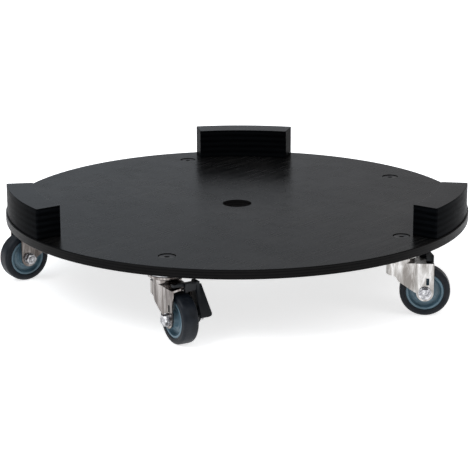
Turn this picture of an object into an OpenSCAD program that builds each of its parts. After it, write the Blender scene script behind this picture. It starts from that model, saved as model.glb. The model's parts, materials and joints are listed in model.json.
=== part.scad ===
// Round furniture dolly: a thin disc deck with three curved edge blocks on top
// and five swivel casters below, two of them with a side brake lever.
// The origin is on the deck's axis at its top face, and +Z points up.

/* [Deck] */
// Diameter of the deck
deck_d = 480; // [400:5:600]
// Thickness of the deck
deck_t = 9.5; // [8:0.5:14]
// Diameter of the hole in the middle of the deck
centre_hole_d = 30; // [20:1:60]
// Size of the eased edge on the deck and the blocks
edge_ease = 0.8; // [0.4:0.1:1.2]

/* [Edge blocks] */
// Height of the blocks above the deck
block_h = 31; // [24:1:45]
// Width of the blocks, measured from the middle outwards
block_w = 27; // [20:1:34]
// How far the blocks stand in from the deck's edge
block_inset = 1.5; // [1:0.5:5]
// Angle that each block spans
block_span = 26.8; // [20:0.2:34]
// Diameter of the screws that hold the blocks
screw_d = 4.5; // [3.5:0.5:5.5]

/* [Casters] */
// How far the caster bolts stand in from the deck's edge
bolt_inset = 36; // [34:1:60]
// Diameter of the mounting bolts
bolt_d = 8; // [6:1:9]
// Height of the swivel head, from the deck down to the fork's top plate
head_drop = 15; // [14:0.5:18]
// Distance from the swivel axis to the wheel's axle
trail = 24; // [22:0.5:28]

/* [Wheels] */
// Diameter of the wheels over the tyre
wheel_d = 50; // [46:1:62]
// Width of the tyre
tyre_w = 16.5; // [14:0.5:19]
// Thickness of the tyre, from the hub to the tread
tyre_t = 6.4; // [5:0.2:8]
// Diameter of the axle bolts
axle_d = 6; // [5:0.5:7]

/* [Fork] */
// Thickness of the pressed steel in the fork
sheet_t = 2; // [1.5:0.25:2.5]
// Gap between the tyre and each cheek of the fork
cheek_gap = 2.5; // [2:0.25:4]
// Gap between the tyre and the fork's top plate
top_gap = 3; // [2:0.5:6]
// Width of the fork's leg at the axle
leg_w = 17; // [14:0.5:20]
// Radius of the two upright corners of the fork's nose
nose_round = 5; // [4:0.5:8]

/* [Brake levers] */
// How far the foot plate reaches out from the side of the fork
pedal_reach = 13.5; // [10:0.5:18]
// Thickness of the foot plate
pedal_t = 3.5; // [3:0.5:5]
// How high the lever stands above the top of the tyre
pedal_rise = 6; // [3:0.5:8]
// Angle at which the foot plate leans back from upright
pedal_lean = 27; // [15:1:32]

/* [Hidden] */
$fn = 96;
PLACES = ["left", "front", "right", "back_right", "back_left"];
// Angle of each caster round the deck, and the way each wheel trails.
PLACE_ANGLES = [180, -107, -36, 36, 108];
TRAIL_ANGLES = [215.5, -58, -3, 190, 20];
BRAKED = [false, true, true, false, false];
BLOCK_NAMES = ["back_block", "left_block", "right_block"];
BLOCK_ANGLES = [90, 204, 339.5];
CASTER_PARTS = [
    "bearing_plate", "king_pin", "bearing_balls", "fork", "axle_bolt",
    "axle_nut", "wheel_bush", "hub", "tyre"
];
BRAKE_PARTS = ["cam_washer", "brake_lever"];
EVERY_PLACE = [0 : len(PLACES) - 1];
BRAKED_PLACES = [for (i = EVERY_PLACE) if (BRAKED[i]) i];

OVER = 1;            // how far a cutting shape runs past what it cuts
RUNNING = 0.06;      // radial clearance of a piece that turns on another
BOLT_PLAY = 0.25;    // radial clearance of a bolt in its hole
SIDE_PLAY = 0.3;     // gap between the faces of pieces that turn

// Deck and blocks
deck_r = deck_d / 2;
bolt_circle_r = deck_r - bolt_inset;
block_ro = deck_r - block_inset;
block_ri = block_ro - block_w;
screw_depth = 0.6 * block_h;
screw_step = 0.34 * block_span;

// Mounting bolt: a countersunk screw whose head lies just below the deck
head_r = bolt_d;
head_sink = 0.8;
head_h = 0.55 * bolt_d;
recess_r = head_r + 0.6;
washer_r = bolt_d;
washer_t = 1.6;
nut_h = 0.8 * bolt_d;
nut_flats = 1.625 * bolt_d;
hex_socket_flats = 0.6 * bolt_d;

// Swivel bearing, with heights measured down from the deck's underside
cap_r = 21;
cap_t = 3.4;
lip_t = 1.4;
lip_h = 1.9;
ball_r = 2;
ball_circle_r = 14;
ball_count = 16;
ball_z = -(cap_t + 1.2);
crown_r = cap_r - lip_t - 0.8;
crown_top = -(cap_t + 2.4);
crown_t = 3.2;
pin_r = bolt_d / 2 + 2;
pin_flange_r = pin_r + 3;
pin_flange_t = 1.6;
flange_top = crown_top - crown_t - 0.4;
flange_bottom = flange_top - pin_flange_t;
nut_top = flange_bottom - washer_t;
bolt_end = nut_top - nut_h - 2;

// Wheel and axle
wheel_r = wheel_d / 2;
axle_z = -(head_drop + sheet_t + top_gap + wheel_r);
hub_r = wheel_r - tyre_t;
bush_r = axle_d / 2 + 2;
cheek_in = tyre_w / 2 + cheek_gap;
cheek_out = cheek_in + sheet_t;
boss_w = 2 * (cheek_in - SIDE_PLAY);
axle_flats = axle_d * 10 / 6;
axle_head_h = 0.67 * axle_d;
axle_flange_t = 1.5;
axle_nut_h = 0.83 * axle_d;

// Fork
fork_top = -head_drop;
leg_r = leg_w / 2;
leg_back = trail + leg_r;
nose_r = cheek_out + 0.6;
nose_front = nose_r + 1;
well_r = nose_r - sheet_t;
panel_end = 0.28 * trail;
leg_front = trail - leg_r + 0.4;
valley_x = leg_front - 1.8;
valley_depth = 1;
gap_x = 1;
slot_w = 3;
slot_h = 7;

// Brake lever, with places measured from the axle
cam_t = 1.5;
cam_r = 8;
lever_in = cheek_out + cam_t + SIDE_PLAY;
lever_boss_t = 4.2;
lever_out = lever_in + lever_boss_t;
lever_boss_r = 7.5;
lever_top = wheel_r + pedal_rise;
pedal_out = cheek_out + pedal_reach;
pedal_low = 2;
pedal_top_x = 2;
pedal_low_x = pedal_top_x + (lever_top - pedal_low) * tan(pedal_lean);
bar_low = norm([leg_r, wheel_r + top_gap + sheet_t]) + 0.6;
bar_top = bar_low + 2.6;
bar_end = 5.5;
lip_w = 3.2;

// ---------------------------------------------------------------- helpers

module ring(r_out, r_in, h) {
    difference() {
        cylinder(r = r_out, h = h);
        translate([0, 0, -OVER]) cylinder(r = r_in, h = h + 2 * OVER);
    }
}

// Six-sided prism that stands on its face, with the distance across its flats
module hexagon(flats, h) {
    cylinder(r = flats / 2 / cos(30), h = h, $fn = 6);
}

// Repeats its children at the five caster places, at the deck's underside
module at_casters() {
    for (i = EVERY_PLACE) at_caster(i) children();
}

module at_caster(i) {
    rotate([0, 0, PLACE_ANGLES[i]])
        translate([bolt_circle_r, 0, -deck_t])
            rotate([0, 0, TRAIL_ANGLES[i] - PLACE_ANGLES[i]])
                children();
}

// Puts its children on the axle's line: their +Z becomes the wheel's side
// that is on the left, seen along the way the wheel trails
module at_axle() {
    translate([trail, 0, axle_z]) rotate([-90, 0, 0]) children();
}

// ---------------------------------------------------------- deck and blocks

module block_screw_places(i) {
    for (side = [-1, 0, 1])
        rotate([0, 0, BLOCK_ANGLES[i] + side * screw_step])
            translate([(block_ro + block_ri) / 2, 0, -deck_t])
                children();
}

module screw_shape() {
    cylinder(r = screw_d / 2, h = deck_t + screw_depth);
    cylinder(r1 = screw_d, r2 = screw_d / 2, h = screw_d / 2);
}

module deck_outline() {
    polygon([
        [0, -deck_t],
        [deck_r - edge_ease, -deck_t],
        [deck_r, -deck_t + edge_ease],
        [deck_r, -edge_ease],
        [deck_r - edge_ease, 0],
        [0, 0]
    ]);
}

module deck() {
    color("#1b1b1d")
    difference() {
        rotate_extrude($fn = 240) deck_outline();
        translate([0, 0, -deck_t - OVER])
            cylinder(d = centre_hole_d, h = deck_t + 2 * OVER);
        at_casters() bolt_hole();
        for (i = [0 : len(BLOCK_NAMES) - 1]) block_screw_places(i) screw_shape();
    }
}

// Clearance hole with a recess for the countersunk head
module bolt_hole() {
    translate([0, 0, -OVER])
        cylinder(r = bolt_d / 2 + BOLT_PLAY, h = deck_t + 2 * OVER);
    translate([0, 0, deck_t - head_sink])
        cylinder(r = recess_r, h = head_sink + OVER);
    translate([0, 0, deck_t - head_sink - head_h])
        cylinder(r1 = bolt_d / 2 + BOLT_PLAY, r2 = recess_r, h = head_h);
}

module block(i) {
    color("#202022")
    difference() {
        rotate([0, 0, BLOCK_ANGLES[i] - block_span / 2])
            rotate_extrude(angle = block_span, $fn = 240)
                polygon([
                    [block_ri, 0],
                    [block_ro, 0],
                    [block_ro, block_h - edge_ease],
                    [block_ro - edge_ease, block_h],
                    [block_ri + edge_ease, block_h],
                    [block_ri, block_h - edge_ease]
                ]);
        block_screw_places(i) screw_shape();
    }
}

module block_screws() {
    color("#8c8e90")
    for (i = [0 : len(BLOCK_NAMES) - 1])
        block_screw_places(i)
            difference() {
                screw_shape();
                translate([0, 0, -OVER]) hexagon(screw_d / 2, OVER + 1.2);
            }
}

// ------------------------------------------------------------ mounting bolts

module mounting_bolts() {
    color("#9a9c9f")
    at_casters()
        difference() {
            union() {
                translate([0, 0, bolt_end])
                    cylinder(d = bolt_d, h = deck_t - head_sink - bolt_end);
                translate([0, 0, deck_t - head_sink - head_h])
                    cylinder(r1 = bolt_d / 2, r2 = head_r, h = head_h);
            }
            translate([0, 0, deck_t - head_sink - 0.7 * head_h])
                hexagon(hex_socket_flats, head_h);
        }
}

module mounting_washers() {
    color("#a8aaad")
    at_casters()
        translate([0, 0, nut_top])
            ring(washer_r, bolt_d / 2 + BOLT_PLAY, washer_t);
}

module mounting_nuts() {
    color("#a8aaad")
    at_casters()
        translate([0, 0, nut_top - nut_h])
            difference() {
                hexagon(nut_flats, nut_h);
                translate([0, 0, -OVER]) cylinder(d = bolt_d, h = nut_h + 2 * OVER);
            }
}

// ------------------------------------------------------------ swivel bearing

// Groove of a ball race, as a full ring to cut away
module race_groove(play) {
    translate([0, 0, ball_z])
        rotate_extrude()
            translate([ball_circle_r, 0])
                circle(r = ball_r + play, $fn = 48);
}

module bearing_plate() {
    color("#b9bbbd")
    difference() {
        union() {
            translate([0, 0, -cap_t]) cylinder(r = cap_r, h = cap_t);
            translate([0, 0, -cap_t - lip_h]) ring(cap_r, cap_r - lip_t, lip_h + 1);
        }
        translate([0, 0, -cap_t - OVER]) cylinder(r = pin_r, h = cap_t + 2 * OVER);
        race_groove(SIDE_PLAY);
    }
}

module king_pin() {
    color("#b9bbbd")
    difference() {
        union() {
            translate([0, 0, flange_bottom]) cylinder(r = pin_r, h = -flange_bottom);
            translate([0, 0, flange_bottom]) cylinder(r = pin_flange_r, h = pin_flange_t);
        }
        translate([0, 0, flange_bottom - OVER])
            cylinder(r = bolt_d / 2 + BOLT_PLAY, h = -flange_bottom + 2 * OVER);
    }
}

module bearing_balls() {
    color("#cfd1d3")
    for (k = [0 : ball_count - 1])
        rotate([0, 0, k * 360 / ball_count])
            translate([ball_circle_r, 0, ball_z])
                sphere(r = ball_r, $fn = 32);
}

// ---------------------------------------------------------------------- fork

// Outline of the fork seen from above: a blunt nose with rounded corners and two
// cheeks, each with a shallow pressed valley in front of its leg
module fork_plan(r) {
    wall = cheek_out - r;
    for (side = [-1, 1])
        translate([nose_round - nose_front, side * (cheek_out - nose_round)])
            circle(r = nose_round - wall);
    polygon([
        [wall - nose_front, nose_round - cheek_out],
        [nose_round - nose_front, -r],
        [panel_end, -r],
        [valley_x, -r + valley_depth],
        [leg_front, -r],
        [leg_back, -r],
        [leg_back, r],
        [leg_front, r],
        [valley_x, r - valley_depth],
        [panel_end, r],
        [nose_round - nose_front, r],
        [wall - nose_front, cheek_out - nose_round]
    ]);
}

// Outline of one cheek seen from the side, from the top plate to the axle
module cheek_side() {
    polygon([
        [-nose_front - OVER, fork_top + OVER],
        [-nose_front - OVER, axle_z + 0.76 * wheel_r],
        [-0.2 * trail, axle_z + 0.64 * wheel_r],
        [-0.1 * trail, axle_z + 0.46 * wheel_r],
        [0.6 * trail, axle_z - 0.1],
        [trail, axle_z],
        [leg_back, axle_z],
        [leg_back, fork_top + OVER]
    ]);
    translate([trail, axle_z]) circle(r = leg_r);
}

// Raised head of the fork: a disc that carries the balls, on a tapered neck
module crown() {
    rotate_extrude()
        polygon([
            [pin_r + RUNNING, crown_top],
            [crown_r - 1, crown_top],
            [crown_r, crown_top - 1],
            [crown_r, crown_top - crown_t],
            [nose_r + 1, crown_top - crown_t - 2],
            [nose_r, fork_top - sheet_t],
            [well_r, fork_top - sheet_t],
            [well_r, crown_top - crown_t],
            [pin_r + RUNNING, crown_top - crown_t]
        ]);
}

module fork(i) {
    color("#c4c5c7")
    difference() {
        union() {
            // top plate over the wheel
            translate([0, 0, fork_top - sheet_t])
                linear_extrude(sheet_t)
                    difference() {
                        fork_plan(cheek_out);
                        circle(r = well_r);
                    }
            // cheeks and nose, cut to their outline
            intersection() {
                translate([0, 0, axle_z - wheel_r])
                    linear_extrude(fork_top - axle_z + wheel_r)
                        difference() {
                            fork_plan(cheek_out);
                            fork_plan(cheek_in);
                        }
                translate([0, nose_r + OVER, 0])
                    rotate([90, 0, 0])
                        linear_extrude(2 * (nose_r + OVER)) cheek_side();
            }
            crown();
        }
        race_groove(RUNNING);
        at_axle()
            translate([0, 0, -cheek_out - OVER])
                cylinder(r = axle_d / 2 + BOLT_PLAY, h = 2 * (cheek_out + OVER));
        if (BRAKED[i]) {
            stop_slot();
            lever_gap();
        }
    }
}

// Leaves room for the lever: the top plate's back edge runs at a slant, and the
// left-hand leg is cut back above its round end
module lever_gap() {
    translate([trail, 0, axle_z + leg_r])
        linear_extrude(fork_top - axle_z)
            polygon([
                [leg_r, -cheek_in],
                [gap_x, cheek_in],
                [gap_x, cheek_out + OVER],
                [leg_r + OVER, cheek_out + OVER],
                [leg_r + OVER, -cheek_in]
            ]);
}

// Small upright slot in the right-hand leg
module stop_slot() {
    translate([trail + 1, -cheek_out - OVER, axle_z + 8])
        cube([slot_w, sheet_t + 2 * OVER, slot_h]);
}

// ------------------------------------------------------------- axle and wheel

// Outer end of the axle on the left: past the nut, and past the lever if any
function nut_seat(i) = BRAKED[i] ? lever_out + SIDE_PLAY : cheek_out;

module axle_bolt(i) {
    color("#b4b6b9")
    at_axle() {
        translate([0, 0, -cheek_out - axle_flange_t])
            cylinder(r = axle_flats / 2 + 1.4, h = axle_flange_t);
        translate([0, 0, -cheek_out - axle_flange_t - axle_head_h])
            hexagon(axle_flats, axle_head_h + 0.2);
        translate([0, 0, -cheek_out - 0.5])
            cylinder(d = axle_d, h = cheek_out + nut_seat(i) + axle_nut_h + 1.5);
    }
}

module axle_nut(i) {
    color("#b4b6b9")
    at_axle()
        translate([0, 0, nut_seat(i)])
            difference() {
                union() {
                    hexagon(axle_flats, axle_nut_h);
                    cylinder(r = axle_flats / 2 + 1, h = 0.8);
                }
                translate([0, 0, -OVER]) cylinder(d = axle_d, h = axle_nut_h + 2 * OVER);
            }
}

module wheel_bush() {
    color("#a3a5a8")
    at_axle()
        translate([0, 0, -cheek_in])
            ring(bush_r, axle_d / 2, 2 * cheek_in);
}

// Half outline of the hub's section, from its middle plane at the bore round to
// the middle plane at the tyre
function hub_half() =
    let (web = 3, rim_w = tyre_w / 2 - 0.6)
    [
        [bush_r + RUNNING, boss_w / 2],
        [bush_r + 1.8, boss_w / 2],
        [bush_r + 3, boss_w / 2 - 2],
        [bush_r + 3.6, web + 1.6],
        [hub_r - 4.6, web],
        [hub_r - 3, web + 0.8],
        [hub_r - 2, rim_w - 0.6],
        [hub_r - 1.2, rim_w],
        [hub_r, rim_w]
    ];

module hub() {
    half = hub_half();
    last = len(half) - 1;
    color("#5f7480")
    at_axle()
        rotate_extrude()
            polygon(concat(half, [for (k = [last : -1 : 0]) [half[k][0], -half[k][1]]]));
}

module tyre() {
    shoulder = 3.2;
    half_w = tyre_w / 2;
    color("#2c3036")
    at_axle()
        rotate_extrude()
            union() {
                translate([hub_r, -half_w]) square([tyre_t - shoulder, tyre_w]);
                translate([hub_r, -half_w + shoulder])
                    square([tyre_t, tyre_w - 2 * shoulder]);
                for (side = [-1, 1])
                    translate([wheel_r - shoulder, side * (half_w - shoulder)])
                        circle(r = shoulder, $fn = 48);
            }
}

// --------------------------------------------------------------- brake lever

// Steel washer with a raised cam ring, between the fork and the lever
module cam_washer() {
    color("#b0b2b4")
    at_axle()
        translate([0, 0, cheek_out])
            ring(cam_r, axle_d / 2 + BOLT_PLAY, cam_t);
}

// The lever turns on the axle: a boss, an upright arm and a foot plate that
// reaches out to the side and leans back towards its lower edge
module brake_lever() {
    color("#23262b")
    difference() {
        union() {
            at_axle()
                translate([0, 0, lever_in]) cylinder(r = lever_boss_r, h = lever_boss_t);
            translate([trail, lever_out, axle_z])
                rotate([90, 0, 0])
                    linear_extrude(lever_boss_t - 1) arm_side();
            foot_plate();
            cross_bar();
        }
        at_axle()
            translate([0, 0, lever_in - OVER])
                cylinder(r = axle_d / 2 + RUNNING, h = pedal_out);
    }
}

// Side outline of the lever's arm, from the boss to the back of the foot plate
module arm_side() {
    polygon([
        [-lever_boss_r, 0],
        [-lever_boss_r + 1.5, bar_top - 3],
        [-lever_boss_r + 3, bar_top],
        [bar_end, bar_top],
        [bar_end, lever_top - 5],
        [pedal_low_x - 2, pedal_low + 2],
        [lever_boss_r, 0]
    ]);
}

// Bar that crosses above the fork's top plate, with a lip that hangs down
// behind the plate's slanting edge
module cross_bar() {
    bar_side = cheek_in - 1.5;
    translate([trail, 0, axle_z]) {
        translate([gap_x, -bar_side, bar_low])
            cube([bar_end - gap_x, bar_side + lever_out, bar_top - bar_low]);
        translate([0, 0, wheel_r + 1.5])
            linear_extrude(bar_top - wheel_r - 1.5)
                polygon([
                    [bar_end - 0.4, 2],
                    [bar_end - 0.4 + lip_w, 2],
                    [gap_x + 0.8 + lip_w, lever_in + 1],
                    [gap_x + 0.8, lever_in + 1]
                ]);
    }
}

// Foot plate: a sloping slab, narrower at its top, with its lower outer corner
// rounded
module foot_plate() {
    drop = (lever_top - pedal_low) / cos(pedal_lean);
    corner = 3;
    width = pedal_out - lever_in;
    translate([trail + pedal_top_x, lever_in, axle_z + lever_top])
        rotate([0, -pedal_lean, 0])
            translate([-pedal_t, 0, -drop])
                rotate([90, 0, 90])
                    linear_extrude(pedal_t)
                        union() {
                            square([width - corner, corner + 1]);
                            translate([0, corner])
                                polygon([
                                    [0, 0],
                                    [width, 0],
                                    [width - 4, drop - corner],
                                    [0, drop - corner]
                                ]);
                            translate([width - corner, corner]) circle(r = corner);
                        }
}

// ------------------------------------------------------------------ assembly

module caster_part(part, i) {
    at_caster(i) {
        if (part == "bearing_plate") bearing_plate();
        if (part == "king_pin") king_pin();
        if (part == "bearing_balls") bearing_balls();
        if (part == "fork") fork(i);
        if (part == "axle_bolt") axle_bolt(i);
        if (part == "axle_nut") axle_nut(i);
        if (part == "wheel_bush") wheel_bush();
        if (part == "hub") hub();
        if (part == "tyre") tyre();
        if (part == "cam_washer") cam_washer();
        if (part == "brake_lever") brake_lever();
    }
}

deck();
for (i = [0 : len(BLOCK_NAMES) - 1])
    block(i);
block_screws();
mounting_bolts();
mounting_washers();
mounting_nuts();
for (part = CASTER_PARTS, i = EVERY_PLACE)
    caster_part(part, i);
for (part = BRAKE_PARTS, i = BRAKED_PLACES)
    caster_part(part, i);
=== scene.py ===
import json
import math

import bmesh
import bpy
from mathutils import Matrix, Vector

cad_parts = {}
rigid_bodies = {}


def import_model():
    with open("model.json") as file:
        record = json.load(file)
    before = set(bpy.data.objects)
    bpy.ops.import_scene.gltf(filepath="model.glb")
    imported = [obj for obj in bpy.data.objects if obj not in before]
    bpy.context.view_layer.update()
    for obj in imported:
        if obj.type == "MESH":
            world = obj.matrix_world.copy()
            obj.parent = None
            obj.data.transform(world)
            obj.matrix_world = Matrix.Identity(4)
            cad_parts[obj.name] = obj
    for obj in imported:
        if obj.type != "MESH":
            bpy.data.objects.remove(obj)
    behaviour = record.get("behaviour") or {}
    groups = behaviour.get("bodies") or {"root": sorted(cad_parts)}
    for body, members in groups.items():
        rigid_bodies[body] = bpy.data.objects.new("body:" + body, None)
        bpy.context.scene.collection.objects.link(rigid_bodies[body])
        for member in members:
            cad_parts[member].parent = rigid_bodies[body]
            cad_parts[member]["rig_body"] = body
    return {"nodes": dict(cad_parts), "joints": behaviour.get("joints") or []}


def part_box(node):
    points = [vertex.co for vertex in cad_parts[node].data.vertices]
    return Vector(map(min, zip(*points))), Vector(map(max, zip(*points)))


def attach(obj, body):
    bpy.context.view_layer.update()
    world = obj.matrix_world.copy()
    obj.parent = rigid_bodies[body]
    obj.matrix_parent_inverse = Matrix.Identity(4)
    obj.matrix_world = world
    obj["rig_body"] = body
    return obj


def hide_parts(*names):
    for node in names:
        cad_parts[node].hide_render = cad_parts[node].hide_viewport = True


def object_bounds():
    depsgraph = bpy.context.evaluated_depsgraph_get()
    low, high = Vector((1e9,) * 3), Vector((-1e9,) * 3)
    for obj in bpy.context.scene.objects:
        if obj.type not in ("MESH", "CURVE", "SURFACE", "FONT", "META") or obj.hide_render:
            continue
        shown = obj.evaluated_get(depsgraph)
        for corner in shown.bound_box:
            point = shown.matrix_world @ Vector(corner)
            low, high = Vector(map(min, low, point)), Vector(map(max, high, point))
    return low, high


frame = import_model()
cadLow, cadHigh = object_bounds()
places = ["left", "front", "right", "back_right", "back_left"]
brakedPlaces = ["front", "right"]
# the forks of these casters get a darker copy of the fork steel: painted shade
shadedForkPlaces = ["front", "left"]
mm = 0.001
flatLimit = 0.97  # upright part of a face's normal, above which it counts as flat
flatAngle = 1.2  # degrees between faces that are joined into one
mergeGap = 2e-6  # metres between corners that are joined into one

# camera, at the angle the dolly is looked at from

cameraSetup = {
    "lens": 139.9,
    "place": (0.0635, -1.8445, 0.4886),
    "aim": (-0.0023, 0.0, -0.0345),
    "roll": -0.18,
    "sensor": 36,
    "near": 0.1,
    "far": 60,
}
cameraData = bpy.data.cameras.new("camera")
cameraData.sensor_width = cameraSetup["sensor"]
cameraData.lens = cameraSetup["lens"]
cameraData.clip_start = cameraSetup["near"]
cameraData.clip_end = cameraSetup["far"]
camera = bpy.data.objects.new("camera", cameraData)
camera.location = cameraSetup["place"]
sight = Vector(cameraSetup["aim"]) - Vector(cameraSetup["place"])
roll = Matrix.Rotation(math.radians(cameraSetup["roll"]), 3, "Z").to_quaternion()
turn = sight.to_track_quat("-Z", "Y") @ roll
camera.rotation_euler = turn.to_euler()
bpy.context.scene.collection.objects.link(camera)
bpy.context.scene.camera = camera
bpy.context.scene.view_settings.view_transform = "Standard"
print("camera ready")


# small tools

def jointNamed(name):
    return next(joint for joint in frame["joints"] if joint["name"] == name)


def axleMatrix(place):
    # z runs along the axle to the wheel's left, x the way the wheel trails
    joint = jointNamed("roll_" + place)
    axle = Vector(joint["pos_m"])
    left = Vector(joint["axis"]).normalized()
    back = left.cross(Vector((0, 0, 1)))
    matrix = Matrix((back, left.cross(back), left)).transposed().to_4x4()
    matrix.translation = axle
    return matrix


def addPiece(name, shape, material, body, nodes=(), smooth=30, edgeMaterial=None):
    mesh = bpy.data.meshes.new(name)
    shape.to_mesh(mesh)
    shape.free()
    mesh.materials.append(material)
    if edgeMaterial:
        mesh.materials.append(edgeMaterial)
    mesh.set_sharp_from_angle(angle=math.radians(smooth))
    for face in mesh.polygons:
        face.use_smooth = True
        face.material_index = 1 if edgeMaterial and abs(face.normal.z) < flatLimit else 0
    piece = bpy.data.objects.new(name, mesh)
    bpy.context.scene.collection.objects.link(piece)
    flats = piece.modifiers.new("flatFaces", "WEIGHTED_NORMAL")
    flats.keep_sharp = True
    flats.weight = 100
    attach(piece, body)
    if nodes:
        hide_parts(*nodes)
    return piece


def addOutline(shape, points):
    # closed outline of radius and height pairs, in the plane y = 0
    corners = [shape.verts.new((radius * mm, 0, height * mm)) for radius, height in points]
    return [shape.edges.new((corners[k], corners[k - 1])) for k in range(len(corners))]


def turned(points, steps=72, matrix=None):
    # spins a closed outline round z into a ring
    shape = bmesh.new()
    outline = addOutline(shape, points)
    bmesh.ops.spin(shape, geom=outline + shape.verts[:], cent=(0, 0, 0), axis=(0, 0, 1),
                   angle=math.tau, steps=steps, use_merge=True)
    bmesh.ops.remove_doubles(shape, verts=shape.verts[:], dist=mergeGap / 2)
    bmesh.ops.recalc_face_normals(shape, faces=shape.faces[:])
    if matrix:
        bmesh.ops.transform(shape, matrix=matrix, verts=shape.verts[:])
    return shape


def roundCorner(centre, radius, start, end, steps=5):
    # points along an arc, for the outline of a turned piece
    points = []
    for k in range(steps + 1):
        angle = math.radians(start + (end - start) * k / steps)
        points.append((centre[0] + radius * math.cos(angle), centre[1] + radius * math.sin(angle)))
    return points


def sharpEdges(shape, angle):
    limit = math.radians(angle)
    return [edge for edge in shape.edges if edge.is_manifold and edge.calc_face_angle(0) > limit]


def mergedCopy(node):
    # a CAD node's loose triangles joined into one skin
    shape = bmesh.new()
    shape.from_mesh(frame["nodes"][node].data)
    bmesh.ops.remove_doubles(shape, verts=shape.verts[:], dist=mergeGap)
    return shape


def easedCopy(node, width, angle=35, segments=2):
    # a copy of a CAD node with its corners eased
    shape = mergedCopy(node)
    bmesh.ops.dissolve_limit(shape, angle_limit=math.radians(flatAngle), verts=shape.verts[:],
                             edges=shape.edges[:], delimit={"NORMAL"})
    bmesh.ops.bevel(shape, geom=sharpEdges(shape, angle), offset=width * mm, offset_type="OFFSET",
                    affect="EDGES", segments=segments, profile=0.5, material=-1, clamp_overlap=True)
    return shape


# material tools

def startMaterial(name, metallic=0.0, specular=0.5):
    material = bpy.data.materials.new(name)
    material.use_nodes = True
    shader = material.node_tree.nodes["Principled BSDF"]
    shader.inputs["Metallic"].default_value = metallic
    shader.inputs["Specular IOR Level"].default_value = specular
    return material, material.node_tree, shader


def place3d(tree, scale=(1, 1, 1), angle=0.0):
    # object coordinates in metres, turned and stretched for a pattern
    coordinates = tree.nodes.new("ShaderNodeTexCoord")
    mapping = tree.nodes.new("ShaderNodeMapping")
    mapping.inputs["Rotation"].default_value = (0, 0, math.radians(angle))
    stretch = tree.nodes.new("ShaderNodeMapping")
    stretch.inputs["Scale"].default_value = scale
    tree.links.new(coordinates.outputs["Object"], mapping.inputs["Vector"])
    tree.links.new(mapping.outputs["Vector"], stretch.inputs["Vector"])
    return stretch.outputs["Vector"]


def noise(tree, vector, scale, detail=4.0, rough=0.5, warp=0.0):
    texture = tree.nodes.new("ShaderNodeTexNoise")
    texture.inputs["Scale"].default_value = scale
    texture.inputs["Detail"].default_value = detail
    texture.inputs["Roughness"].default_value = rough
    texture.inputs["Distortion"].default_value = warp
    tree.links.new(vector, texture.inputs["Vector"])
    return texture.outputs["Fac"]


def cells(tree, vector, scale):
    texture = tree.nodes.new("ShaderNodeTexVoronoi")
    texture.inputs["Scale"].default_value = scale
    tree.links.new(vector, texture.inputs["Vector"])
    return texture.outputs["Distance"]


def between(tree, factor, fromLow, fromHigh, toLow, toHigh):
    remap = tree.nodes.new("ShaderNodeMapRange")
    remap.inputs["From Min"].default_value = fromLow
    remap.inputs["From Max"].default_value = fromHigh
    remap.inputs["To Min"].default_value = toLow
    remap.inputs["To Max"].default_value = toHigh
    tree.links.new(factor, remap.inputs["Value"])
    return remap.outputs["Result"]


def combine(tree, operation, first, second):
    sums = tree.nodes.new("ShaderNodeMath")
    sums.operation = operation
    for socket, value in zip(sums.inputs, (first, second)):
        if isinstance(value, (int, float)):
            socket.default_value = value
        else:
            tree.links.new(value, socket)
    return sums.outputs["Value"]


def blend(tree, first, share, second):
    # a share of one pattern and the rest of another
    return combine(tree, "ADD", combine(tree, "MULTIPLY", first, share),
                   combine(tree, "MULTIPLY", second, 1 - share))


def setGloss(tree, shader, wear, low, high, look):
    # roughness runs from shiny to dull as the wear pattern goes from low to high
    rough = between(tree, wear, low, high, look["shiny"], look["dull"])
    tree.links.new(rough, shader.inputs["Roughness"])


def colours(tree, factor, stops):
    ramp = tree.nodes.new("ShaderNodeValToRGB")
    while len(ramp.color_ramp.elements) < len(stops):
        ramp.color_ramp.elements.new(0.5)
    for element, (position, colour) in zip(ramp.color_ramp.elements, stops):
        element.position = position
        element.color = (*colour, 1)
    tree.links.new(factor, ramp.inputs["Fac"])
    return ramp.outputs["Color"]


def mixColour(tree, factor, first, second):
    mix = tree.nodes.new("ShaderNodeMix")
    mix.data_type = "RGBA"
    tree.links.new(factor, mix.inputs["Factor"])
    for socket, value in ((mix.inputs["A"], first), (mix.inputs["B"], second)):
        if isinstance(value, tuple):
            socket.default_value = (*value, 1)
        else:
            tree.links.new(value, socket)
    return mix.outputs["Result"]


def addBump(tree, shader, height, distance, strength=1.0):
    bump = tree.nodes.new("ShaderNodeBump")
    bump.inputs["Strength"].default_value = strength
    bump.inputs["Distance"].default_value = distance
    tree.links.new(height, bump.inputs["Height"])
    if shader.inputs["Normal"].is_linked:
        tree.links.new(shader.inputs["Normal"].links[0].from_socket, bump.inputs["Normal"])
    tree.links.new(bump.outputs["Normal"], shader.inputs["Normal"])


# materials

plyPattern = {
    "grain": (14, 420, 420),
    "pores": (60, 1500, 1500),
    "cloud": 9.0,
    "smudge": 26.0,
    "smudgeStretch": (1, 1.7, 1),
    "smudgeAngle": 25,
    "streaks": (60, 60, 1400),
    "pits": (300, 300, 1600),
}


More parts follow.
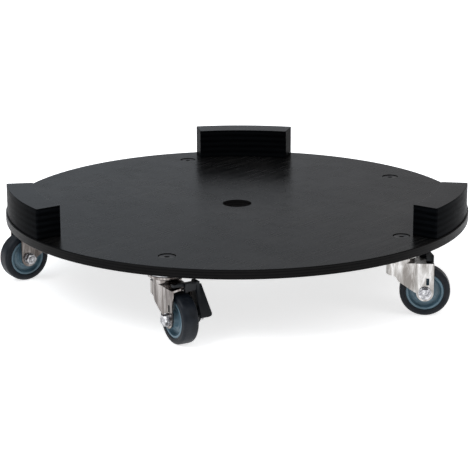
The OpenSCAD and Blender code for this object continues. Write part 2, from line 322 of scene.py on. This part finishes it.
def makePlyFace(name, look):
    # open-grained veneer under black stain and satin lacquer
    material, tree, shader = startMaterial(name, specular=look["specular"])
    along = place3d(tree, scale=plyPattern["grain"], angle=look["grainAngle"])
    fine = place3d(tree, scale=plyPattern["pores"], angle=look["grainAngle"])
    rubbed = place3d(tree, scale=plyPattern["smudgeStretch"], angle=plyPattern["smudgeAngle"])
    grain = noise(tree, along, 1.0, detail=6, rough=0.62, warp=0.25)
    pores = noise(tree, fine, 1.0, detail=3, rough=0.55)
    cloud = noise(tree, place3d(tree), plyPattern["cloud"], detail=5, rough=0.55)
    smudge = noise(tree, rubbed, plyPattern["smudge"], detail=6, rough=0.6, warp=0.6)
    tone = blend(tree, grain, 0.62, cloud)
    face = colours(tree, tone, [(0.34, look["dark"]), (0.5, look["middle"]), (0.68, look["light"])])
    tree.links.new(face, shader.inputs["Base Color"])
    setGloss(tree, shader, blend(tree, smudge, 0.55, grain), 0.3, 0.72, look)
    addBump(tree, shader, grain, look["grainDepth"])
    addBump(tree, shader, between(tree, pores, 0.3, 0.45, 0.0, 1.0), look["poreDepth"])
    return material


def makePlyEdge(name, look):
    # sawn and sanded plies under black stain, as thin bands up the edge
    material, tree, shader = startMaterial(name, specular=look["specular"])
    split = tree.nodes.new("ShaderNodeSeparateXYZ")
    tree.links.new(place3d(tree), split.inputs["Vector"])
    ply = combine(tree, "PINGPONG", split.outputs["Z"], look["plyThick"])
    bands = between(tree, ply, 0.25 * look["plyThick"], 0.75 * look["plyThick"], 0.0, 1.0)
    streaks = noise(tree, place3d(tree, scale=plyPattern["streaks"]), 1.0, detail=5, rough=0.6)
    pits = noise(tree, place3d(tree, scale=plyPattern["pits"]), 1.0, detail=3, rough=0.5)
    tone = blend(tree, bands, 0.3, streaks)
    edge = colours(tree, tone, [(0.3, look["dark"]), (0.75, look["light"])])
    tree.links.new(edge, shader.inputs["Base Color"])
    setGloss(tree, shader, streaks, 0.3, 0.7, look)
    addBump(tree, shader, streaks, look["streakDepth"])
    addBump(tree, shader, between(tree, pits, 0.25, 0.4, 0.0, 1.0), look["pitDepth"])
    return material


deckFace = makePlyFace("deckFace", {
    "specular": 0.22,
    "grainAngle": -52,
    "dark": (0.0006, 0.0006, 0.0008),
    "middle": (0.0032, 0.0032, 0.0033),
    "light": (0.021, 0.0198, 0.0188),
    "shiny": 0.15,
    "dull": 0.34,
    "grainDepth": 0.00011,
    "poreDepth": 0.000014,
})
deckEdge = makePlyEdge("deckEdge", {
    "specular": 0.045,
    "dark": (0.001, 0.001, 0.0012),
    "light": (0.0075, 0.007, 0.007),
    "plyThick": 0.00136,
    "shiny": 0.3,
    "dull": 0.5,
    "streakDepth": 0.00003,
    "pitDepth": 0.00003,
})
blockFace = makePlyFace("blockFace", {
    "specular": 0.22,
    "grainAngle": 8,
    "dark": (0.0012, 0.0014, 0.0018),
    "middle": (0.0024, 0.0027, 0.0032),
    "light": (0.0055, 0.006, 0.0065),
    "shiny": 0.16,
    "dull": 0.3,
    "grainDepth": 0.000025,
    "poreDepth": 0.000016,
})
blockEdge = makePlyEdge("blockEdge", {
    "specular": 0.003,
    "dark": (0.0011, 0.0013, 0.0017),
    "light": (0.0042, 0.0048, 0.0056),
    "plyThick": 0.0031,
    "shiny": 0.26,
    "dull": 0.42,
    "streakDepth": 0.00002,
    "pitDepth": 0.00002,
})


grimeScale = 260.0


def makeMetal(name, look):
    # zinc-plated or bare steel: mottled plating, which on the forks is stretched up and down into
    # painted reflection streaks, fine brush marks, dull spots and dust
    material, tree, shader = startMaterial(name, metallic=look["metallic"], specular=0.5)
    mottleAndStreaks = noise(tree, place3d(tree, scale=look["mottleScale"]), 1.0, detail=5, rough=0.6, warp=0.4)
    brush = noise(tree, place3d(tree, scale=look["brushScale"]), 1.0, detail=4, rough=0.6)
    grime = noise(tree, place3d(tree), grimeScale, detail=7, rough=0.7)
    tones = [(0.37, look["shade"]), (0.5, look["plate"]), (0.65, look["bright"])]
    plate = colours(tree, mottleAndStreaks, tones)
    spots = between(tree, grime, 0.62, 0.7, 0.0, look["grimeAmount"])
    tree.links.new(mixColour(tree, spots, plate, look["grime"]), shader.inputs["Base Color"])
    setGloss(tree, shader, blend(tree, brush, 0.5, grime), 0.32, 0.7, look)
    addBump(tree, shader, brush, look["brushDepth"])
    addBump(tree, shader, mottleAndStreaks, look["waveDepth"])
    return material


# fork steel: the mottle is stretched up and down, so its dark and bright tones paint vertical
# reflection streaks
forkSteel = makeMetal("forkSteel", {
    "metallic": 1.0,
    "shade": (0.2, 0.185, 0.172),
    "plate": (0.37, 0.355, 0.34),
    "bright": (0.66, 0.65, 0.64),
    "grime": (0.16, 0.12, 0.1),
    "grimeAmount": 0.5,
    "mottleScale": (150, 150, 32),
    "brushScale": (160, 160, 1800),
    "shiny": 0.14,
    "dull": 0.27,
    "brushDepth": 0.000004,
    "waveDepth": 0.000025,
})
# a darker copy of the fork steel for the left and front casters: painted shade, with the mottle
# stretched into painted reflection streaks
shadedForkSteel = makeMetal("shadedForkSteel", {
    "metallic": 1.0,
    "shade": (0.095, 0.08, 0.074),
    "plate": (0.19, 0.17, 0.16),
    "bright": (0.42, 0.395, 0.38),
    "grime": (0.09, 0.066, 0.055),
    "grimeAmount": 0.55,
    "mottleScale": (190, 190, 26),
    "brushScale": (160, 160, 1800),
    "shiny": 0.12,
    "dull": 0.27,
    "brushDepth": 0.000004,
    "waveDepth": 0.000025,
})
axleSteel = makeMetal("axleSteel", {
    "metallic": 1.0,
    "shade": (0.2, 0.2, 0.215),
    "plate": (0.4, 0.4, 0.415),
    "bright": (0.74, 0.74, 0.76),
    "grime": (0.07, 0.06, 0.055),
    "grimeAmount": 0.65,
    "mottleScale": (320, 320, 320),
    "brushScale": (1200, 1200, 1200),
    "shiny": 0.1,
    "dull": 0.28,
    "brushDepth": 0.00001,
    "waveDepth": 0.00004,
})
zincPlate = makeMetal("zincPlate", {
    "metallic": 1.0,
    "shade": (0.42, 0.42, 0.44),
    "plate": (0.56, 0.56, 0.575),
    "bright": (0.74, 0.74, 0.76),
    "mottleScale": (140, 140, 140),
    "grime": (0.16, 0.14, 0.12),
    "grimeAmount": 0.6,
    "brushScale": (900, 900, 900),
    "shiny": 0.15,
    "dull": 0.32,
    "brushDepth": 0.00001,
    "waveDepth": 0.00003,
})
boltSteel = makeMetal("boltSteel", {
    "metallic": 0.55,
    "mottleScale": (120, 120, 120),
    "shade": (0.022, 0.022, 0.024),
    "plate": (0.04, 0.04, 0.042),
    "bright": (0.065, 0.063, 0.06),
    "grime": (0.11, 0.1, 0.09),
    "grimeAmount": 0.5,
    "brushScale": (1200, 1200, 1200),
    "shiny": 0.3,
    "dull": 0.5,
    "brushDepth": 0.000008,
    "waveDepth": 0.00003,
})
ballSteel = makeMetal("ballSteel", {
    "metallic": 1.0,
    "mottleScale": (120, 120, 120),
    "shade": (0.66, 0.66, 0.67),
    "plate": (0.74, 0.74, 0.75),
    "bright": (0.82, 0.82, 0.82),
    "grime": (0.3, 0.26, 0.2),
    "grimeAmount": 0.5,
    "brushScale": (500, 500, 500),
    "shiny": 0.1,
    "dull": 0.22,
    "brushDepth": 0.000004,
    "waveDepth": 0.00001,
})


mouldedWear = {"scuff": 420.0, "scuffStretch": (1, 1, 2.4), "scuffAngle": 33, "dust": 75.0}


def makeMoulded(name, look):
    # moulded plastic or rubber: faint flow marks, fine grain, scuffs and dust
    material, tree, shader = startMaterial(name, specular=look["specular"])
    flow = noise(tree, place3d(tree), look["flowScale"], detail=5, rough=0.55, warp=0.8)
    grain = cells(tree, place3d(tree), look["grainScale"])
    rubbed = place3d(tree, scale=mouldedWear["scuffStretch"], angle=mouldedWear["scuffAngle"])
    scuff = noise(tree, rubbed, mouldedWear["scuff"], detail=8, rough=0.72)
    dust = noise(tree, place3d(tree), mouldedWear["dust"], detail=7, rough=0.68)
    body = colours(tree, flow, [(0.32, look["dark"]), (0.52, look["middle"]), (0.72, look["light"])])
    marks = between(tree, scuff, 0.6, 0.72, 0.0, look["scuffAmount"])
    worn = mixColour(tree, marks, body, look["scuff"])
    film = between(tree, dust, 0.48, 0.75, 0.0, look["dustAmount"])
    tree.links.new(mixColour(tree, film, worn, look["dust"]), shader.inputs["Base Color"])
    setGloss(tree, shader, blend(tree, dust, 0.5, scuff), 0.35, 0.68, look)
    addBump(tree, shader, grain, look["grainDepth"])
    addBump(tree, shader, flow, look["flowDepth"])
    return material


hubPlastic = makeMoulded("hubPlastic", {
    "specular": 0.5,
    "flowScale": 90.0,
    "grainScale": 2600.0,
    "dark": (0.046, 0.092, 0.122),
    "middle": (0.072, 0.135, 0.176),
    "light": (0.105, 0.18, 0.226),
    "scuff": (0.2, 0.24, 0.26),
    "scuffAmount": 0.4,
    "dust": (0.15, 0.17, 0.175),
    "dustAmount": 0.3,
    "shiny": 0.3,
    "dull": 0.5,
    "grainDepth": 0.00001,
    "flowDepth": 0.00004,
})
tyreRubber = makeMoulded("tyreRubber", {
    "specular": 0.2,
    "flowScale": 70.0,
    "grainScale": 1900.0,
    "dark": (0.0028, 0.0044, 0.0072),
    "middle": (0.005, 0.0076, 0.0122),
    "light": (0.009, 0.0125, 0.018),
    "scuff": (0.03, 0.033, 0.037),
    "scuffAmount": 0.4,
    "dust": (0.045, 0.046, 0.047),
    "dustAmount": 0.3,
    "shiny": 0.34,
    "dull": 0.62,
    "grainDepth": 0.00003,
    "flowDepth": 0.00003,
})
leverPlastic = makeMoulded("leverPlastic", {
    "specular": 0.25,
    "flowScale": 60.0,
    "grainScale": 1500.0,
    "dark": (0.0016, 0.0028, 0.0044),
    "middle": (0.003, 0.0046, 0.0068),
    "light": (0.0056, 0.008, 0.011),
    "scuff": (0.028, 0.031, 0.034),
    "scuffAmount": 0.4,
    "dust": (0.05, 0.05, 0.05),
    "dustAmount": 0.25,
    "shiny": 0.36,
    "dull": 0.6,
    "grainDepth": 0.00003,
    "flowDepth": 0.00002,
})
print("materials ready")


# deck

deckLook = {"edge": 0.5, "segments": 3}
addPiece("deckBoard", easedCopy("deck", deckLook["edge"], segments=deckLook["segments"]),
         deckFace, "deck", ["deck"], edgeMaterial=deckEdge)


# edge blocks

blockLook = {
    "setIn": 1.5,
    "width": 27,
    "span": 26.8,
    "cornerRound": 1.7,
    "edgeRound": 0.35,
    "sharp": 60,
    "segments": 4,
    "steps": 28,
    "angles": {"back_block": 90, "left_block": 204, "right_block": 339.5},
}


def roundEdges(shape, edges, radius):
    bmesh.ops.bevel(shape, geom=edges, offset=radius * mm, offset_type="OFFSET", affect="EDGES",
                    segments=blockLook["segments"], profile=0.5, material=-1)


def makeBlock(node, angle):
    # a curved bar: one end's outline spun round the deck's axis, then rounded
    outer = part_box("deck")[1].x / mm - blockLook["setIn"]
    inner = outer - blockLook["width"]
    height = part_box(node)[1].z / mm
    span = blockLook["span"]
    shape = bmesh.new()
    corners = [shape.verts.new((radius * mm, 0, z * mm))
               for radius, z in ((inner, 0), (outer, 0), (outer, height), (inner, height))]
    end = shape.faces.new(corners)
    start = Matrix.Rotation(math.radians(angle - span / 2), 4, "Z")
    bmesh.ops.transform(shape, matrix=start, verts=shape.verts[:])
    bmesh.ops.spin(shape, geom=[end] + end.edges[:] + end.verts[:], cent=(0, 0, 0), axis=(0, 0, 1),
                   angle=math.radians(span), steps=blockLook["steps"], use_merge=False)
    bmesh.ops.recalc_face_normals(shape, faces=shape.faces[:])
    corners = sharpEdges(shape, blockLook["sharp"])
    upright = [edge for edge in corners if abs(edge.verts[0].co.z - edge.verts[1].co.z) > mm]
    roundEdges(shape, upright, blockLook["cornerRound"])
    roundEdges(shape, sharpEdges(shape, blockLook["sharp"]), blockLook["edgeRound"])
    return shape


for node, angle in blockLook["angles"].items():
    addPiece(node.replace("_", "") + "Rounded", makeBlock(node, angle), blockFace, "deck",
             [node], edgeMaterial=blockEdge)
print("deck and blocks ready")


# screws, bolts, washers and nuts under the deck

fixings = {
    "block_screws": (0.15, "black_steel"),
    "mounting_bolts": (0.25, "black_steel"),
    "mounting_washers": (0.3, "bolt_steel"),
    "mounting_nuts": (0.4, "bolt_steel"),
}
for node, (width, slot) in fixings.items():
    material = boltSteel if slot == "black_steel" else zincPlate
    addPiece(node.replace("_", "") + "Eased", easedCopy(node, width), material, "deck", [node])


# swivel heads and forks

camWasherEase = 0.25
steelParts = {
    "bearing_plate": (0.5, "zinc_plate"),
    "king_pin": (0.3, "zinc_plate"),
    "fork": (0.45, "fork_steel"),
    "axle_bolt": (0.35, "bolt_steel"),
    "axle_nut": (0.35, "bolt_steel"),
    "wheel_bush": (0.3, "bolt_steel"),
}


def bodyOf(node):
    return frame["nodes"][node]["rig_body"]


for place in places:
    for part, (width, slot) in steelParts.items():
        node = part + "_" + place
        if slot == "fork_steel":
            # the left and front forks take the darker copy of the fork steel: painted shade
            material = shadedForkSteel if place in shadedForkPlaces else forkSteel
        else:
            material = axleSteel if slot == "bolt_steel" else zincPlate
        name = part.replace("_", "") + "." + place
        addPiece(name, easedCopy(node, width), material, bodyOf(node), [node])
    node = "bearing_balls_" + place
    addPiece("balls." + place, mergedCopy(node), ballSteel, bodyOf(node), [node])
for place in brakedPlaces:
    node = "cam_washer_" + place
    washer = easedCopy(node, camWasherEase)
    addPiece("camwasher." + place, washer, zincPlate, bodyOf(node), [node])
print("swivel heads and forks ready")


# wheels

wheelLook = {
    "radius": 25.0,
    "tyreWidth": 16.5,
    "tyreThick": 6.4,
    "shoulder": 3.4,
    "boreRadius": 5.06,
    "bossHalf": 10.45,
    "steps": 96,
    "smooth": 40,
}


def tyreOutline():
    # sidewall with a raised ring, rounded shoulders and a faintly crowned tread
    radius = wheelLook["radius"]
    half = wheelLook["tyreWidth"] / 2
    hub = radius - wheelLook["tyreThick"]
    shoulder = wheelLook["shoulder"]
    side = [(hub, half - 0.35), (hub + 0.5, half - 0.05), (hub + 0.9, half), (hub + 1.5, half),
            (hub + 1.7, half - 0.22), (hub + 2.1, half - 0.22), (hub + 2.3, half)]
    curve = roundCorner((radius - shoulder, half - shoulder), shoulder - 0.06, 88, 12, steps=9)
    tread = [(radius - 0.03, half - shoulder - 0.9), (radius, half - shoulder - 2.2)]
    upper = side + curve + tread
    lower = [(r, -z) for r, z in reversed(upper)]
    return upper + lower


def hubOutline():
    # light rim ring, a step, a dished web with fine rings, and a boss
    radius = wheelLook["radius"]
    hub = radius - wheelLook["tyreThick"]
    rim = wheelLook["tyreWidth"] / 2 - 0.5
    bore = wheelLook["boreRadius"]
    boss = wheelLook["bossHalf"]
    upper = [(bore, boss - 0.3), (bore + 0.3, boss), (bore + 1.5, boss), (bore + 1.8, boss - 0.3),
             (bore + 2.3, boss - 2.2), (bore + 2.9, 5.6), (bore + 3.5, 4.9), (bore + 5.0, 4.7),
             (bore + 5.2, 5.0), (bore + 5.6, 5.0), (bore + 5.8, 4.6), (hub - 5.4, 4.2),
             (hub - 5.2, 4.5), (hub - 4.9, 4.5), (hub - 4.7, 4.1), (hub - 4.2, 4.1),
             (hub - 3.5, 4.6), (hub - 2.9, rim - 1.6), (hub - 2.6, rim - 0.5),
             (hub - 2.3, rim - 0.1), (hub - 1.9, rim), (hub - 0.8, rim), (hub - 0.4, rim - 0.3),
             (hub - 0.02, rim - 0.4)]
    lower = [(r, -z) for r, z in reversed(upper)]
    return upper + lower


for place in places:
    axle = axleMatrix(place)
    body = "wheel_" + place
    tyre = turned(tyreOutline(), steps=wheelLook["steps"], matrix=axle)
    addPiece("tyre." + place, tyre, tyreRubber, body, ["tyre_" + place],
             smooth=wheelLook["smooth"])
    hub = turned(hubOutline(), steps=wheelLook["steps"], matrix=axle)
    addPiece("hub." + place, hub, hubPlastic, body, ["hub_" + place],
             smooth=wheelLook["smooth"])
print("wheels ready")


# brake levers

leverLook = {"edge": 0.7, "sharp": 30, "segments": 3}
for place in brakedPlaces:
    node = "brake_lever_" + place
    shape = easedCopy(node, leverLook["edge"], angle=leverLook["sharp"], segments=leverLook["segments"])
    addPiece("lever." + place, shape, leverPlastic, bodyOf(node), [node])
print("brake levers ready")


# floor and soft studio light

floorLook = {
    "size": 14,
    "height": cadLow.z - 0.00005,
    "glow": 0.72,
    "specular": 0.2,
    "paper": 40.0,
    "dark": (0.9, 0.9, 0.9),
    "light": (0.93, 0.93, 0.93),
    "shiny": 0.7,
    "dull": 0.8,
}
floorMaterial, tree, shader = startMaterial("floorPaper", specular=floorLook["specular"])
paper = noise(tree, place3d(tree), floorLook["paper"], detail=4, rough=0.5)
sheet = colours(tree, paper, [(0.3, floorLook["dark"]), (0.7, floorLook["light"])])
tree.links.new(sheet, shader.inputs["Base Color"])
setGloss(tree, shader, paper, 0.3, 0.7, floorLook)
shader.inputs["Emission Color"].default_value = (1, 1, 1, 1)
shader.inputs["Emission Strength"].default_value = floorLook["glow"]
shape = bmesh.new()
bmesh.ops.create_grid(shape, x_segments=1, y_segments=1, size=floorLook["size"])
bmesh.ops.translate(shape, vec=(0, 0, floorLook["height"]), verts=shape.verts[:])
mesh = bpy.data.meshes.new("floor")
shape.to_mesh(mesh)
shape.free()
mesh.materials.append(floorMaterial)
floor = bpy.data.objects.new("floor", mesh)
bpy.context.scene.collection.objects.link(floor)

lamps = {
    "key": {"place": (-1.6, -1.5, 2.4), "size": 1.6, "power": 26, "colour": (1, 0.985, 0.96)},
    "fill": {"place": (2.2, -1.4, 1.6), "size": 1.4, "power": 9, "colour": (0.96, 0.98, 1)},
}
for name, lamp in lamps.items():
    light = bpy.data.lights.new(name, "AREA")
    light.shape = "DISK"
    light.size = lamp["size"]
    light.energy = lamp["power"]
    light.color = lamp["colour"]
    holder = bpy.data.objects.new(name, light)
    holder.location = lamp["place"]
    holder.rotation_euler = (-Vector(lamp["place"])).to_track_quat("-Z", "Y").to_euler()
    bpy.context.scene.collection.objects.link(holder)

# a dome that is brighter overhead than at the walls, with a white backdrop behind everything
domeLook = {
    "levels": [(0.0, 0.4), (0.2, 0.37), (0.33, 0.22), (0.45, 0.3), (0.8, 1)],
    "wallBlend": 0.16,
    "leftWall": (1.08, 1.17, 1.27),
    "rightWall": (0.93, 0.9, 0.9),
    "backdrop": 1.0,
}
world = bpy.data.worlds.new("studio")
world.use_nodes = True
sky = world.node_tree
dome = sky.nodes["Background"]
direction = sky.nodes.new("ShaderNodeTexCoord")
height = sky.nodes.new("ShaderNodeSeparateXYZ")
sky.links.new(direction.outputs["Generated"], height.inputs["Vector"])
levels = [(up, (level, level, level)) for up, level in domeLook["levels"]]
sky.links.new(colours(sky, height.outputs["Z"], levels), dome.inputs["Strength"])
wallBlend = domeLook["wallBlend"]
sideways = between(sky, height.outputs["X"], -wallBlend, wallBlend, 0.0, 1.0)
walls = mixColour(sky, sideways, domeLook["leftWall"], domeLook["rightWall"])
sky.links.new(walls, dome.inputs["Color"])
backdrop = sky.nodes.new("ShaderNodeBackground")
backdrop.inputs["Strength"].default_value = domeLook["backdrop"]
seen = sky.nodes.new("ShaderNodeLightPath")
choose = sky.nodes.new("ShaderNodeMixShader")
sky.links.new(seen.outputs["Is Camera Ray"], choose.inputs["Fac"])
sky.links.new(dome.outputs["Background"], choose.inputs[1])
sky.links.new(backdrop.outputs["Background"], choose.inputs[2])
sky.links.new(choose.outputs["Shader"], sky.nodes["World Output"].inputs["Surface"])
backdrop.inputs["Color"].default_value = (1, 1, 1, 1)
bpy.context.scene.world = world
print("stage ready")
